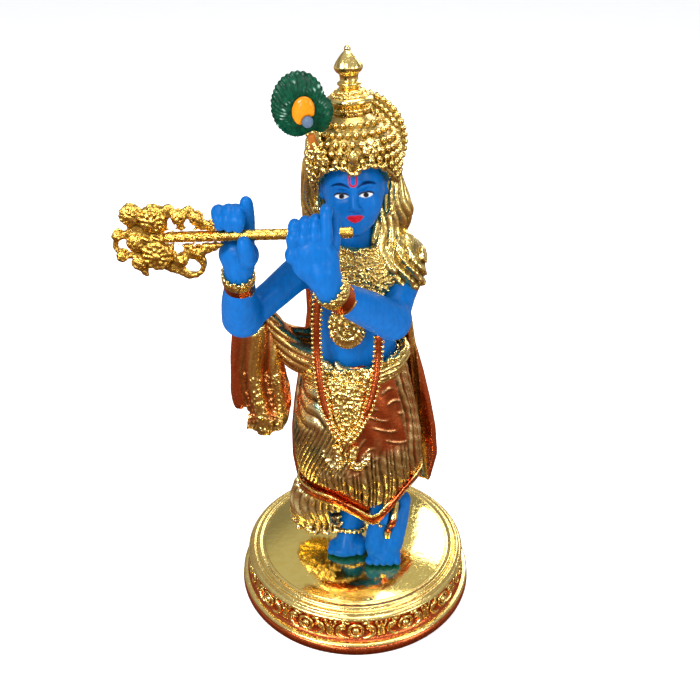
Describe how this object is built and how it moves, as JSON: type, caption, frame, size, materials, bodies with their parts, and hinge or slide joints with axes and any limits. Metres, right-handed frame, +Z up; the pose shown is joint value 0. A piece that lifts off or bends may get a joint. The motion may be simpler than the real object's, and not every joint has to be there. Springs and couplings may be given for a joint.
{
  "type": "hindu deity statue",
  "caption": "Standing deity figurine playing a flute on a round pedestal, in gold plate with blue enamel skin and a peacock feather; the flute draws out of the hands.",
  "frame": {"origin": "centre of the underside of the round pedestal, on the felt", "axes": "+Z up the figure, -Y the way it faces, +X towards its own left side"},
  "size_m": [0.1037, 0.08, 0.1801],
  "materials": {
    "gold_plate": "polished",
    "red_gold_plate": "polished",
    "cast_gold": "satin",
    "blue_enamel": "satin",
    "green_enamel": "satin",
    "orange_enamel": "gloss",
    "slate_enamel": "satin",
    "felt": "matte"
  },
  "bodies": {
    "figure": {"felt_pad": "felt", "base_plinth": "red_gold_plate", "base_frieze": "gold_plate", "base_top": "gold_plate", "left_foot": "blue_enamel", "right_foot": "blue_enamel", "left_anklet": "gold_plate", "right_anklet": "gold_plate", "under_frill": "gold_plate", "dhoti": "gold_plate", "dhoti_border": "red_gold_plate", "waist_belt": "gold_plate", "belt_apron": "gold_plate", "garland": "gold_plate", "torso": "blue_enamel", "collar_necklace": "gold_plate", "pendant": "gold_plate", "shoulder_cloth": "gold_plate", "back_cape": "red_gold_plate", "sash_loop": "cast_gold", "sash_tail": "cast_gold", "right_arm": "blue_enamel", "left_arm": "blue_enamel", "right_hand": "blue_enamel", "left_hand": "blue_enamel", "right_bracelet": "red_gold_plate", "left_bracelet": "red_gold_plate", "head": "blue_enamel", "left_hair_lock": "gold_plate", "right_hair_lock": "gold_plate", "left_earring": "gold_plate", "right_earring": "gold_plate", "crown_cap": "gold_plate", "crown_brim": "gold_plate", "crown_finial": "gold_plate", "crown_halo": "gold_plate", "feather_plume": "green_enamel", "feather_eye": "orange_enamel", "feather_heart": "slate_enamel", "feather_stem": "orange_enamel"},
    "flute": {"flute_tube": "cast_gold", "flute_ornament": "cast_gold"}
  },
  "joints": [
    {"name": "flute_draw", "type": "slide", "parent": "figure", "child": "flute", "axis": [-0.9996, 0, -0.0279], "range_m": [0, 0.045]}
  ]
}
